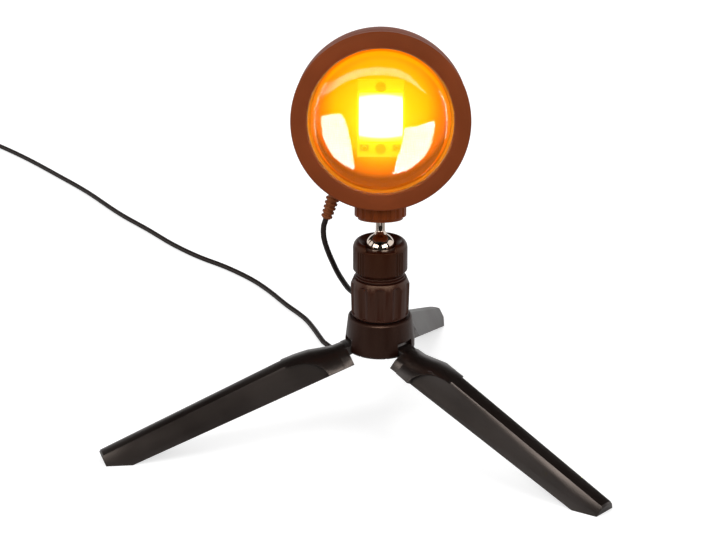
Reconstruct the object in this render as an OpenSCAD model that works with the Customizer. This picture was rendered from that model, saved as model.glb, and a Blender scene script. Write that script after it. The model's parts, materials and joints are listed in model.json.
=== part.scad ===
// Sunset projection lamp: a drum-shaped lamp head with a domed lens, on a ball stud, a ball-head
// base and a pocket tripod whose three legs fold down into a grip. Millimetres, Z up.
// The lens faces -Y. The origin is on the floor, below the middle of the object's box.

/* [Lamp head] */
// Outside diameter of the flat front ring
ring_d = 93; // [90:0.5:100]
// Diameter of the opening in the front ring
opening_d = 75.4; // [70:0.2:76]
// Thickness of the front ring
ring_t = 4; // [3:0.5:5]
// Outside diameter of the drum behind the ring
drum_d = 92; // [90:0.5:92.5]
// Height of the lens's dome above its flange
dome_h = 10; // [6:0.5:14]
// Width and height of the lit face of the LED
led_w = 19.5; // [14:0.5:20]
led_h = 22; // [16:0.5:22]

/* [Stud and ball] */
// Diameter of the bright ball
ball_d = 17; // [16:0.5:18]
// Diameter of the stud between ball and lock ring
stud_d = 4.9; // [4:0.1:6]
// Height of the ball's centre above the floor
ball_z = 102; // [100:1:106]
// Distance from the ball's centre up to the lamp head's centre
head_rise = 69.8; // [68:0.2:74]
// Backward lean of the stud and the lamp head, in degrees
lean = 9.5; // [0:0.5:15]
// Diameter and number of flutes of the lock ring
lock_d = 27.2; // [24:0.2:30]
lock_flutes = 18; // [12:1:24]

/* [Ball head] */
// Diameter of the ball collar
collar_d = 28.8; // [26:0.5:30]
// Diameter of the scalloped base at its widest
base_d = 31.2; // [30:0.2:33]
// Number of scallops round the base
scallops = 10; // [8:1:14]

/* [Tripod] */
// Hub diameter at its top and near its bottom
hub_top_d = 34; // [33:0.5:36]
hub_low_d = 37; // [36:0.5:39]
// Distance of each hinge pin from the column's axis, and its height
hinge_r = 13; // [12.5:0.1:13.5]
hinge_z = 50.1; // [50:0.1:51]
// Angle that each leg opens out from hanging straight down
leg_spread = 71.3; // [68:0.1:73]
// Length of a leg from its hinge pin to its tip
leg_length = 147.8; // [140:0.2:150]
// Azimuth of the left leg; the others follow at 120 and 240 degrees
left_azimuth = 198; // [190:1:210]

/* [Cord] */
// Diameter of the cord
cord_d = 3; // [2.8:0.1:3.4]
// Loops of the put-away coil
coil_loops = 7; // [5:1:10]

/* [Hidden] */
$fn = 96;

slack = 0.02;               // radial clearance between parts that are fixed together
run = 0.05;                 // radial clearance of a running fit
apart = 0.3;                // gap between surfaces that pass each other
far = 200;                  // longer than anything it cuts
plastic = "#33241f";
bright = "#c9bdb2";
brass = "#b8893b";
board_green = "#2f6b3a";

// The driving heights, up from the floor on the column's axis
hub_bottom = 45.8;
hub_top = 64.4;
base_bottom = 65.2;
base_shoulder = 82;
base_cone_top = 86;
collar_bottom = 89.5;
collar_crest = 106.7;
opening_z = 104.2;

// Depths in the lamp head, measured forward (toward the lens) from the stud's axis
ring_front = 18;
ring_back = ring_front - ring_t;
drum_straight = -8;         // where the drum's side begins to round in
drum_rear = -18;
rear_r = 38.5;
wall = 1.8;
lens_back = 10;
lens_edge_r = 41;
seal_r = 38.2;              // inside radius of the gasket and of the ring behind the filter
filter_t = 1.2;
filter_back = 7;
chamber_front = 4.6;
chamber_floor = -4;

// Lock ring, along the stud up from the ball's centre
pad_drop = 0.5;             // how far the flat pad for the lock ring stands below the drum
lock_low = 15.9;
lock_top = head_rise - drum_d / 2 - pad_drop;

leg_azimuths = [left_azimuth, left_azimuth + 120, left_azimuth + 240];

// Half width and reach of a leg's tip, which set where the column stands in the object's box
tip_half = 4.6;
tip_ridge_r = 14.7;
tip_reach = hinge_r + (tip_ridge_r - hinge_r) * cos(leg_spread) + leg_length * sin(leg_spread);
function tip_x(a, side) = tip_reach * cos(a) - side * tip_half * sin(a);
function tip_y(a, side) = tip_reach * sin(a) + side * tip_half * cos(a);
tips_x = [for (a = leg_azimuths, side = [-1, 1]) tip_x(a, side)];
tips_y = [for (a = leg_azimuths, side = [-1, 1]) tip_y(a, side)];
column_x = -(max(tips_x) + min(tips_x)) / 2;
column_y = -(max(tips_y) + min(tips_y)) / 2;

// ---- frames: the column's axis, the leaning stud, the lamp head ----
module at_column() { translate([column_x, column_y, 0]) children(); }
module on_stud() { at_column() translate([0, 0, ball_z]) rotate([-lean, 0, 0]) children(); }
module in_head() { on_stud() translate([0, 0, head_rise]) children(); }
// Z forward through the lens
module facing() { in_head() rotate([90, 0, 0]) children(); }

// A ring between two heights and two radii
module ring(low, high, r_in, r_out) {
    difference() {
        translate([0, 0, low]) cylinder(r = r_out, h = high - low);
        translate([0, 0, low - 1]) cylinder(r = r_in, h = high - low + 2);
    }
}

// A pan-head screw along +Z: its head stands on z = 0, its shank goes down
module pan_screw(head_r, head_h, shank_r, shank_l) {
    difference() {
        union() {
            cylinder(r = head_r, h = head_h);
            translate([0, 0, -shank_l]) cylinder(r = shank_r, h = shank_l + head_h / 2);
        }
        for (turn = [0, 90]) rotate([0, 0, turn])
            translate([-head_r * 0.6, -head_r * 0.12, head_h * 0.5])
                cube([head_r * 1.2, head_r * 0.24, head_h]);
    }
}

// ---- lamp head ----
// Room inside the drum for the flange of the threaded insert
insert_r = 5;
insert_flange_r = 6.6;
insert_high = -drum_d / 2 + 4.2;
module insert_room() {
    low = -drum_d / 2 - 3;
    in_head() translate([0, 0, low]) cylinder(r = insert_flange_r + apart, h = insert_high + 0.8 - low);
}

spigot_r = drum_d / 2 - wall - slack;
module front_ring() {
    chamfer = 0.7;
    color(plastic) difference() {
        facing() rotate_extrude() polygon([
            [opening_d / 2 + chamfer, ring_front], [ring_d / 2 - chamfer, ring_front],
            [ring_d / 2, ring_front - chamfer], [ring_d / 2, ring_back], [spigot_r, ring_back],
            [spigot_r, chamber_front + slack], [lens_edge_r + slack, chamber_front + slack],
            [lens_edge_r + slack, ring_back], [opening_d / 2, ring_back],
            [opening_d / 2, ring_front - chamfer]
        ]);
        insert_room();
    }
}

// The dome is an arc down to a rounded shoulder, and a steep side below it meets the flange
dome_r = 33.8;
dome_foot_r = 36.3;
dome_side_h = 2.4;
dome_sag = dome_h - dome_side_h;
dome_sphere_r = (dome_r * dome_r + dome_sag * dome_sag) / (2 * dome_sag);
dome_half = asin(dome_r / dome_sphere_r);
dome_steps = 16;
module lens() {
    flange_front = ring_back - slack;
    dome = [for (i = [0 : dome_steps]) let (a = dome_half * i / dome_steps)
        [dome_sphere_r * sin(a), flange_front + dome_h - dome_sphere_r * (1 - cos(a))]];
    side = [
        [dome_r + 0.7, flange_front + dome_side_h - 0.45], [dome_foot_r - 1, flange_front + 1],
        [dome_foot_r - 0.4, flange_front + 0.3], [dome_foot_r, flange_front]
    ];
    color("#f2e2b8", 0.5) facing() rotate_extrude() polygon(concat(
        [[0, lens_back]], dome, side, [[lens_edge_r, flange_front], [lens_edge_r, lens_back]]));
}

module lens_gasket() {
    color("#262322") facing() ring(filter_back + filter_t + slack, lens_back - slack, seal_r, lens_edge_r);
}

module sunset_filter() {
    color("#f08a1c", 0.6) facing() translate([0, 0, filter_back]) cylinder(r = lens_edge_r, h = filter_t);
}

module filter_ring() {
    color("#3a3634") facing() ring(chamber_front + slack, filter_back - slack, seal_r, lens_edge_r);
}

// Open bowl behind the filter. The LED board fits the window in its floor, and four pillars
// on its back take the rear cover's screws.
chamber_wall = 1.4;
cover_screw_r = 31.2;
cover_thread_r = 1.3;
sink_screw_r = 24.5;
small_thread_r = 1.2;
module four_round(r) { for (a = [45 : 90 : 315]) rotate([0, 0, a]) translate([r, 0, 0]) children(); }
module lamp_chamber() {
    mouth_r = 38.4;
    floor_r = 31;
    rim_r = drum_d / 2 - wall - 0.4;
    rim_back = chamber_front - chamber_wall;
    floor_back = chamber_floor - chamber_wall;
    pillar_r = 2.8;
    window = 0.2;
    color("#f3e7c8") difference() {
        facing() {
            rotate_extrude() polygon([
                [0, chamber_floor], [floor_r, chamber_floor], [mouth_r, chamber_front],
                [rim_r, chamber_front], [rim_r, rim_back], [mouth_r + chamber_wall, rim_back],
                [floor_r + chamber_wall, floor_back], [0, floor_back]
            ]);
            four_round(cover_screw_r) translate([0, 0, drum_rear + slack])
                cylinder(r = pillar_r, h = chamber_floor - 0.4 - drum_rear - slack);
        }
        facing() {
            translate([-board_w / 2 - window, board_y - board_h / 2 - window, chamber_floor - 5])
                cube([board_w + window * 2, board_h + window * 2, 10]);
            // blind holes, so that no screw shows through the lens
            four_round(sink_screw_r) translate([0, 0, chamber_floor - 3])
                cylinder(r = small_thread_r + slack, h = 2.6);
            four_round(cover_screw_r) translate([0, 0, drum_rear - 1])
                cylinder(r = cover_thread_r + slack, h = 7);
        }
        insert_room();
    }
}

// The board sits in the chamber's floor, on the heat sink
board_w = 21;
board_h = 35;
board_y = -1.2;             // the board's middle lies a little below the lens's axis
board_t = 1.6;
board_back = chamber_floor - chamber_wall;
board_front = board_back + board_t;
screw_spots = [[0, 13.2], [0, -14.9]];
terminal_spots = [[-7.4, -14.5], [7.4, -14.5]];
module led_board() {
    color("#e9e2cf") facing() difference() {
        translate([-board_w / 2, board_y - board_h / 2, board_back]) cube([board_w, board_h, board_t]);
        for (s = screw_spots) translate([s[0], s[1], board_back - 1]) cylinder(r = 1.3, h = board_t + 2);
    }
}

module led() {
    led_t = 1.1;
    led_y = -0.6;
    color("#fff6c8") facing() translate([-led_w / 2, led_y - led_h / 2, board_front + slack])
        cube([led_w, led_h, led_t]);
}

module led_screws() {
    color(bright) facing() for (s = screw_spots)
        translate([s[0], s[1], board_front + slack]) pan_screw(2.4, 1.6, small_thread_r, 6);
}

module led_terminals() {
    color(bright) facing() for (t = terminal_spots) translate([t[0], t[1], board_front + slack]) {
        pad_t = 0.8;
        translate([-2, -1.5, 0]) cube([4, 3, pad_t]);
        translate([0, 0, pad_t]) cylinder(r1 = 1.3, r2 = 0.9, h = 0.9);
    }
}

// Round plate with straight fins to the rear
sink_front = board_back - slack;
sink_plate_t = 2.6;
sink_back = sink_front - sink_plate_t;
sink_r = 27.5;
module heat_sink() {
    fin_t = 1.4;
    fin_h = 6;
    fin_gap = 5;
    fins_r = 21.5;
    color("#a9a9a6") facing() difference() {
        union() {
            translate([0, 0, sink_back]) cylinder(r = sink_r, h = sink_plate_t);
            intersection() {
                translate([0, 0, sink_back - fin_h]) cylinder(r = fins_r, h = fin_h + 1);
                for (i = [-4 : 4]) translate([i * fin_gap - fin_t / 2, -far / 2, sink_back - fin_h])
                    cube([fin_t, far, fin_h + 1]);
            }
        }
        for (s = screw_spots) translate([s[0], s[1], sink_back - 2])
            cylinder(r = small_thread_r + slack, h = 5);
        four_round(sink_screw_r) translate([0, 0, sink_back - 1])
            cylinder(r = small_thread_r + 0.2, h = 6);
    }
}

module heat_sink_screws() {
    color(bright) facing() four_round(sink_screw_r) translate([0, 0, sink_back - slack])
        mirror([0, 0, 1]) pan_screw(2, 1.2, small_thread_r, 3.4);
}

// Driver board on four posts of the rear cover, with its components to the rear
driver_z = -15.4;
driver_w = 28;
driver_h = 20;
module driver_board() {
    color(board_green) facing() {
        translate([-driver_w / 2, -driver_h / 2, driver_z]) cube([driver_w, driver_h, 1.2]);
        translate([-9, -6, driver_z - 0.9]) cube([6, 5, 1]);
        translate([2, -3, driver_z - 1.1]) cube([7, 7, 1.2]);
        translate([-5, 4, driver_z - 0.8]) cube([3, 3, 0.9]);
    }
}

// Drum: straight side, rounded in to the rear, with a flat pad below for the lock ring
function drum_outline(inset) = [for (i = [0 : round_steps]) let (a = 90 * i / round_steps)
    [rear_r - inset + (drum_d / 2 - rear_r) * cos(a),
     drum_straight - (drum_straight - drum_rear) * sin(a)]];
round_steps = 8;
pad_r = 13.9;
relief_start = [-23.4, 1, -38.4];
relief_lean = 18;
relief_root_r = 3.4;
module along_relief() { in_head() translate(relief_start) rotate([180, relief_lean, 0]) children(); }
module drum() {
    color(plastic) difference() {
        union() {
            facing() rotate_extrude() polygon(concat(
                [[0, ring_back - slack], [drum_d / 2, ring_back - slack]], drum_outline(0),
                [[0, drum_rear]]));
            in_head() translate([0, 0, -drum_d / 2 - pad_drop]) cylinder(r = pad_r, h = 6);
        }
        facing() rotate_extrude() polygon(concat(
            [[0, ring_back + 1], [drum_d / 2 - wall, ring_back + 1]], drum_outline(wall),
            [[rear_r - wall, drum_rear - 1], [0, drum_rear - 1]]));
        in_head() translate([0, 0, -drum_d / 2 - 3]) cylinder(r = insert_r + slack, h = 12);
        along_relief() translate([0, 0, -3]) cylinder(r = relief_root_r + slack, h = 12);
    }
}

cover_t = 2.2;
cover_back = drum_rear - cover_t;
module rear_cover() {
    post_r = 1.4;
    post_foot = drum_rear - slack - 0.5;
    vent = [2, 14];
    color(plastic) facing() difference() {
        union() {
            translate([0, 0, cover_back]) cylinder(r1 = rear_r - 1.2, r2 = rear_r, h = cover_t - slack);
            ring(drum_rear - slack * 2, drum_rear + 2, 34.6, rear_r - wall - slack);
            for (x = [-1, 1], y = [-1, 1]) translate([x * 12.5, y * 8, post_foot])
                cylinder(r = post_r, h = driver_z - slack - post_foot);
        }
        for (i = [-4 : 4], side = [-1, 1])
            translate([i * 5 - vent[0] / 2, side * 12 - vent[1] / 2, drum_rear - 5])
                cube([vent[0], vent[1], 6]);
        four_round(cover_screw_r) translate([0, 0, drum_rear - 5])
            cylinder(r = cover_thread_r + 0.2, h = 10);
    }
}

module rear_cover_screws() {
    color("#4a4542") facing() four_round(cover_screw_r) translate([0, 0, cover_back - slack])
        mirror([0, 0, 1]) pan_screw(2.4, 1.1, cover_thread_r, 5);
}

// Flanged brass bush in the drum's side, with the thread for the stud's screw
screw_r = 3.1;
module thread_insert() {
    low = -drum_d / 2 - pad_drop + 0.1;
    flange_low = -drum_d / 2 + wall + 0.6;
    color(brass) in_head() difference() {
        union() {
            translate([0, 0, low]) cylinder(r = insert_r, h = insert_high - low);
            translate([0, 0, flange_low]) cylinder(r = insert_flange_r, h = 1.4);
        }
        translate([0, 0, low - 1]) cylinder(r = screw_r + run, h = insert_high - low + 2);
    }
}

// Ribbed and tapered, as a stack of ribs on a cone, with the cord's bore
relief_l = 16.5;
relief_ribs = 5;
module strain_relief() {
    color("#1d1614") along_relief() difference() {
        union() {
            translate([0, 0, -1.5]) cylinder(r = relief_root_r, h = 5);
            cylinder(r1 = 3, r2 = 2.3, h = relief_l);
            for (i = [0 : relief_ribs - 1]) translate([0, 0, 5 + i * 2.4])
                cylinder(r = 3.6 - i * 0.14, h = 1.2);
        }
        translate([0, 0, relief_l - 1]) cylinder(r = cord_d / 2 + slack, h = 3);
    }
}

// ---- ball stud, lock ring, ball head ----
// The flare's foot is where the cone meets the ball
module ball_stud() {
    flare_r = 3.6;
    flare_z = sqrt(pow(ball_d / 2, 2) - flare_r * flare_r);
    tip = head_rise + insert_high - 1.4;
    color(bright) on_stud() rotate_extrude() polygon(concat(
        [for (a = [-90 : 6 : 90]) if (ball_d / 2 * sin(a) < flare_z - 0.1) ball_d / 2 * [cos(a), sin(a)]],
        [[flare_r, flare_z], [stud_d / 2, flare_z + 1.8],
         [stud_d / 2, lock_low + 1], [screw_r, lock_low + 1.6],
         [screw_r, tip - 0.6], [screw_r - 0.6, tip], [0, tip]]));
}

module lock_ring() {
    foot_r = 12.1;
    foot_h = 1.8;
    flute_r = 1.1;
    rim = 0.5;
    color(plastic) on_stud() difference() {
        union() {
            translate([0, 0, lock_low]) cylinder(r1 = foot_r - 0.3, r2 = foot_r, h = foot_h);
            translate([0, 0, lock_low + foot_h])
                cylinder(r = lock_d / 2, h = lock_top - lock_low - foot_h - rim);
            translate([0, 0, lock_top - rim])
                cylinder(r1 = lock_d / 2, r2 = lock_d / 2 - rim, h = rim - slack);
        }
        translate([0, 0, lock_low - 1]) cylinder(r = screw_r + run, h = 12);
        for (i = [0 : lock_flutes - 1]) rotate([0, 0, (i + 0.5) * 360 / lock_flutes])
            translate([lock_d / 2 + 0.45, 0, lock_low + foot_h - 0.01])
                cylinder(r = flute_r, h = 12, $fn = 24);
    }
}

// Rounded nut, dished round the ball, with grip grooves and a shallow notch in front for the stud
collar_bore_r = 11.7;
collar_bore_top = 97.6;
opening_r = 8.12;
module ball_collar() {
    shoulder_z = 102.3;
    notch_w = 15.4;
    notch_z = 104;
    crest_r = 11.4;
    shoulder = [for (a = [0 : 10 : 90]) [crest_r + (collar_d / 2 - crest_r) * cos(a),
        shoulder_z + (collar_crest - shoulder_z) * sin(a)]];
    color(plastic) at_column() difference() {
        rotate_extrude() polygon(concat(
            [[0, collar_bottom], [collar_d / 2 - 1.2, collar_bottom], [collar_d / 2, collar_bottom + 1.4]],
            shoulder, [[opening_r, opening_z], [0, opening_z]]));
        translate([0, 0, collar_bottom - 1])
            cylinder(r = collar_bore_r, h = collar_bore_top - collar_bottom + 1);
        translate([0, 0, ball_z]) sphere(r = ball_d / 2 + run);
        translate([0, 0, collar_bore_top - 0.01])
            cylinder(r1 = collar_bore_r, r2 = ball_d / 2, h = ball_z - collar_bore_top - 1.4);
        translate([0, 0, ball_z]) cylinder(r = opening_r, h = 8);
        translate([-notch_w / 2, -20, notch_z]) cube([notch_w, 20, 10]);
        for (face = [0 : 90 : 270]) for (i = [-1 : 1]) rotate([0, 0, 45 + face + i * 7])
            translate([collar_d / 2 + 0.25, 0, collar_bottom - 1]) cylinder(r = 0.7, h = 14.5, $fn = 16);
    }
}

neck_r = collar_bore_r - run;
neck_top = collar_bore_top - 0.4;
socket_r = 9.6;
spring_z = 88;
module base_grip() {
    scallop_r = 4.2;
    scallop_depth = 1.5;
    root_r = 12;            // bottom of the grooves between the thread's two turns
    color(plastic) at_column() difference() {
        rotate_extrude() polygon([
            [0, base_bottom], [base_d / 2 - 0.9, base_bottom],
            [base_d / 2 - 0.4, base_bottom + 0.6],
            [base_d / 2, base_shoulder], [14, base_cone_top], [root_r, base_cone_top],
            [root_r, base_cone_top + 0.4], [13.2, base_cone_top + 0.7],
            [13.2, base_cone_top + 1.3], [root_r, base_cone_top + 1.6],
            [root_r, base_cone_top + 1.9], [12.6, base_cone_top + 2.1],
            [12.6, base_cone_top + 2.6], [neck_r, base_cone_top + 3], [neck_r, neck_top], [0, neck_top]
        ]);
        translate([0, 0, spring_z]) cylinder(r = socket_r + slack, h = 12);
        translate([0, 0, base_bottom - 1]) cylinder(r = screw_r + run, h = 13);
        for (i = [0 : scallops - 1]) rotate([0, 0, (i + 0.5) * 360 / scallops])
            translate([base_d / 2 + scallop_r - scallop_depth, 0, base_bottom + 1.1]) {
                cylinder(r = scallop_r, h = 17, $fn = 48);
                translate([0, 0, 17]) cylinder(r1 = scallop_r, r2 = scallop_r - 2.4, h = 3, $fn = 48);
            }
    }
}

// Nylon cup under the ball, pressed up by a cone-shaped spring washer
spring_h = 1.7;
module ball_seat() {
    color("#d9d2c0") at_column() difference() {
        translate([0, 0, spring_z + spring_h + slack])
            cylinder(r = socket_r, h = neck_top - spring_z - spring_h - slack);
        translate([0, 0, ball_z]) sphere(r = ball_d / 2 + run);
        translate([0, 0, spring_z]) cylinder(r = 3, h = 8);
    }
}

module seat_spring() {
    color("#8f8c88") at_column() rotate_extrude() polygon([
        [9.2, spring_z + slack], [9.2, spring_z + 0.6],
        [4.2, spring_z + spring_h], [4.2, spring_z + spring_h - 0.6]
    ]);
}

// ---- hub ----
slot_half = 5.3;
knuckle_r = 3;
pin_r = 1.5;
pin_half = 11;
snap_half = 1.3;            // half width of the grooves through which the pins snap in from below
screw_seat_z = 55;
washer_t = 1;
hub_cover_r = 7.4;
hub_cover_t = 1.6;
module each_leg() { for (a = leg_azimuths) rotate([0, 0, a]) children(); }

module hub() {
    edge = 0.8;
    color(plastic) at_column() difference() {
        rotate_extrude() polygon([
            [0, hub_bottom], [hub_low_d / 2 - 0.8, hub_bottom], [hub_low_d / 2, hub_bottom + 1.2],
            [hub_low_d / 2, hub_bottom + 5], [hub_top_d / 2, hub_top - edge],
            [hub_top_d / 2 - edge, hub_top], [0, hub_top]
        ]);
        translate([0, 0, hub_bottom - 1]) cylinder(r = screw_r + slack, h = 30);
        translate([0, 0, hub_bottom - 1]) cylinder(r = 6.3, h = screw_seat_z - hub_bottom + 1);
        translate([0, 0, hub_bottom - 1]) cylinder(r = hub_cover_r + slack, h = hub_cover_t + 1);
        each_leg() {
            translate([hinge_r - knuckle_r - 0.4, -slot_half, hub_bottom - 1])
                cube([20, slot_half * 2, hinge_z + knuckle_r + 0.5 - hub_bottom + 1]);
            translate([hinge_r, pin_half + slack, hinge_z]) rotate([90, 0, 0])
                cylinder(r = pin_r + slack, h = (pin_half + slack) * 2);
            translate([hinge_r - snap_half, -pin_half - slack, hub_bottom - 1])
                cube([snap_half * 2, (pin_half + slack) * 2, hinge_z - hub_bottom + 1]);
        }
    }
}

module hub_screw() {
    head_h = 3.4;
    low = screw_seat_z - washer_t - head_h;
    tip_z = 75;
    color(bright) at_column() difference() {
        translate([0, 0, low]) {
            cylinder(r = 5.2, h = head_h - slack);
            cylinder(r = screw_r, h = tip_z - low);
        }
        translate([-4, -0.7, low - 1]) cube([8, 1.4, 2.2]);
    }
}

module hub_washer() {
    color(bright) at_column()
        ring(screw_seat_z - washer_t + slack, screw_seat_z - slack, screw_r + slack * 2, 6);
}

module friction_pad() {
    color("#1b1817") at_column() ring(hub_top + slack, base_bottom - slack, screw_r + slack * 2, 13.6);
}

module hub_cover() {
    color("#2b2422") at_column() difference() {
        translate([0, 0, hub_bottom]) cylinder(r = hub_cover_r, h = hub_cover_t - slack);
        for (side = [-1, 1]) translate([side * 4.5, 0, hub_bottom - 1]) cylinder(r = 0.8, h = 4);
    }
}

module hinge_pins() {
    color(bright) at_column() each_leg()
        translate([hinge_r, pin_half, hinge_z]) rotate([90, 0, 0]) cylinder(r = pin_r, h = pin_half * 2);
}

// ---- legs, drawn hanging down from the hinge with the leg's outside toward +X ----
root_s = 7.2;               // distances below the hinge pin
band_s = 12.4;
runout_s = 22;
runout_l = 19;
runout_w = 13.4;
flat_h0 = 14.4;             // the flats' distance from the grip's axis, at the hinge and its fall per mm
flat_fall = 3 / 130;
flat_lean = atan(flat_fall);
skirt = 2.2;
sector_gap = 0.25;          // half the gap between two legs that are folded side by side
ridge = [
    [root_s, 15], [band_s, 15.2], [17, 16.3], [25.5, 18.5], [34, 19.5], [39.5, 19.8], [43, 19.7],
    [leg_length - 1, tip_ridge_r + 1], [leg_length, tip_ridge_r]
];
function flat_at(s) = flat_h0 - flat_fall * s;

// What one flat cuts away: a band at the root, and from the rounded runout to the tip.
// Drawn in the flat's own plane, with the ridge toward -X and the tip toward -Y.
module flat_cutter() {
    runout = [for (a = [0 : 9 : 90]) [-runout_w * sin(a), -(runout_s + runout_l * (1 - cos(a)))]];
    rotate([90, 0, 90]) linear_extrude(30) {
        polygon(concat([[20, -runout_s]], runout,
            [[-40, -(runout_s + runout_l)], [-40, -far], [20, -far]]));
        translate([-40, -band_s]) square([60, band_s]);
    }
}

module leg_solid() {
    difference() {
        rotate_extrude()
            polygon(concat([[0, -root_s]], [for (p = ridge) [p[1], -p[0]]], [[0, -leg_length]]));
        for (side = [0, 1]) mirror([0, side, 0]) rotate([0, 0, 60])
            translate([flat_h0 - apart / 2, 0, 0]) rotate([0, flat_lean, 0]) flat_cutter();
        for (side = [0, 1]) mirror([0, side, 0]) rotate([0, 0, 60])
            translate([-far, -sector_gap, -far]) cube([far * 2, far, far * 2]);
        translate([flat_h0 / 2, 0, 0]) rotate([0, flat_lean / 2, 0])
            translate([-60, -60, -far]) cube([60, 120, far]);
    }
}

// Pockets between cross ribs, open on the leg's inner side
module leg_pockets() {
    pocket_l = 17.5;
    rib_t = 2;
    ridge_pocket = 12.2;
    for (i = [0 : 4]) {
        s = 26 + i * (pocket_l + rib_t);
        half = flat_at(s + pocket_l) * sin(60) - 4.2;
        translate([0, 0, -s - pocket_l]) linear_extrude(pocket_l)
            polygon([[0, -half], [flat_at(s) / 2 + skirt / 2, -half], [ridge_pocket, -half * 0.3],
                     [ridge_pocket, half * 0.3], [flat_at(s) / 2 + skirt / 2, half], [0, half]]);
    }
}

module leg_hanging() {
    tongue_half = slot_half - 0.25;
    difference() {
        union() {
            difference() { leg_solid(); leg_pockets(); }
            translate([hinge_r, tongue_half, 0]) rotate([90, 0, 0])
                cylinder(r = knuckle_r, h = tongue_half * 2);
            translate([hinge_r - knuckle_r, -tongue_half, -root_s - 0.5])
                cube([knuckle_r + 1.6, tongue_half * 2, root_s + 0.5]);
        }
        translate([hinge_r, 20, 0]) rotate([90, 0, 0]) cylinder(r = pin_r + run, h = 40);
    }
}

// Opened out to its stop and cut level where it stands on the floor
module leg(i) {
    color(plastic) at_column() difference() {
        rotate([0, 0, leg_azimuths[i]]) translate([hinge_r, 0, hinge_z])
            rotate([0, -leg_spread, 0]) translate([-hinge_r, 0, 0]) leg_hanging();
        translate([-far, -far, -far]) cube([far * 2, far * 2, far]);
    }
}

// ---- cord: swept tubes ----
// A point on a smooth curve through four neighbouring points
function curve_at(a, b, c, d, t) =
    0.5 * (2 * b + (c - a) * t + (2 * a - 5 * b + 4 * c - d) * t * t + (3 * b - a - 3 * c + d) * t * t * t);
function smooth(p, steps) = [
    for (i = [0 : len(p) - 2]) let (a = p[max(i - 1, 0)], d = p[min(i + 2, len(p) - 1)])
        for (k = [0 : steps[i] - 1]) curve_at(a, p[i], p[i + 1], d, k / steps[i]),
    p[len(p) - 1]
];
// Steps of each stretch, for a ring about every so many millimetres
function steps_for(p, gap) = [for (i = [0 : len(p) - 2]) max(1, round(norm(p[i + 1] - p[i]) / gap))];
function heading(p, i) = let (v = p[min(i + 1, len(p) - 1)] - p[max(i - 1, 0)]) v / norm(v);
function unit(v) = v / norm(v);
function length_of(p, i = 1) = i >= len(p) ? 0 : norm(p[i] - p[i - 1]) + length_of(p, i + 1);

module tube(p, r, sides, aside) {
    n = len(p);
    rings = [for (i = [0 : n - 1]) let (t = heading(p, i), u = unit(cross(aside, t)), w = cross(t, u))
        for (k = [0 : sides - 1]) p[i] + r * (cos(360 * k / sides) * u + sin(360 * k / sides) * w)];
    ends = [p[0], p[n - 1]];
    faces = concat(
        [for (i = [0 : n - 2], k = [0 : sides - 1])
            [i * sides + k, (i + 1) * sides + k, (i + 1) * sides + (k + 1) % sides]],
        [for (i = [0 : n - 2], k = [0 : sides - 1])
            [i * sides + k, (i + 1) * sides + (k + 1) % sides, i * sides + (k + 1) % sides]],
        [for (k = [0 : sides - 1]) [n * sides, k, (k + 1) % sides]],
        [for (k = [0 : sides - 1])
            [n * sides + 1, (n - 1) * sides + (k + 1) % sides, (n - 1) * sides + k]]);
    polyhedron(points = concat(rings, ends), faces = faces, convexity = 8);
}

// Where the cord leaves the strain relief, from the relief's place in the leaning head
relief_way = [-sin(relief_lean), 0, -cos(relief_lean)];
relief_tip = relief_start + [0, 0, head_rise] + (relief_l - 1) * relief_way;
function leaned(v) =
    [v[0], v[1] * cos(lean) + v[2] * sin(lean), v[2] * cos(lean) - v[1] * sin(lean)];
cord_exit = leaned(relief_tip) + [0, 0, ball_z];
exit_way = leaned(relief_way);

// The route's points, from the column's axis on the floor
floor_z = cord_d / 2;
hanging_points = [
    cord_exit, cord_exit + 5 * exit_way, [-29.8, 3, 107], [-28, 5.5, 99], [-25.6, 9.5, 91], [-23, 14, 83],
    [-20.3, 19, 76], [-17.6, 24.5, 69.5], [-15.4, 31, 64.5], [-14, 38.5, 60], [-13.2, 46.5, 55],
    [-12.8, 54, 48], [-13, 62, 36], [-14.5, 70, 24], [-17, 77.5, 13], [-20.5, 84.5, 5.5], [-24.5, 91, 2]
];
switch_end_z = 4.8;
floor_points = [
    [-24.5, 91, 2], [-28.5, 98, floor_z], [-33, 106, floor_z],
    [-38, 122, floor_z], [-45, 141, floor_z], [-57, 162, floor_z], [-68, 183, floor_z],
    [-80, 202, floor_z], [-97, 222, floor_z], [-115, 239, floor_z], [-133, 260, floor_z],
    [-152, 287, floor_z], [-174, 317, floor_z], [-200, 358, floor_z], [-224, 391, floor_z],
    [-249, 424, floor_z], [-272, 451, floor_z], [-290, 468, floor_z], [-306, 472, floor_z],
    [-318, 464, floor_z], [-322, 452, 2.4], [-322, 443, 4.4], [-322, 438, 4.8]
];
switch_l = 46;
switch_w = 15;
switch_split = 5.2;
switch_h = 10;
switch_from = [-322, 439.5];

module cord_hanging() {
    color("#1d1816") at_column()
        tube(smooth(hanging_points, steps_for(hanging_points, 8)), cord_d / 2, 8, [1, 0, 0]);
}

module cord_floor() {
    color("#1d1816") at_column()
        tube(smooth(floor_points, steps_for(floor_points, 11)), cord_d / 2, 8, [0, 0, 1]);
}

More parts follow.
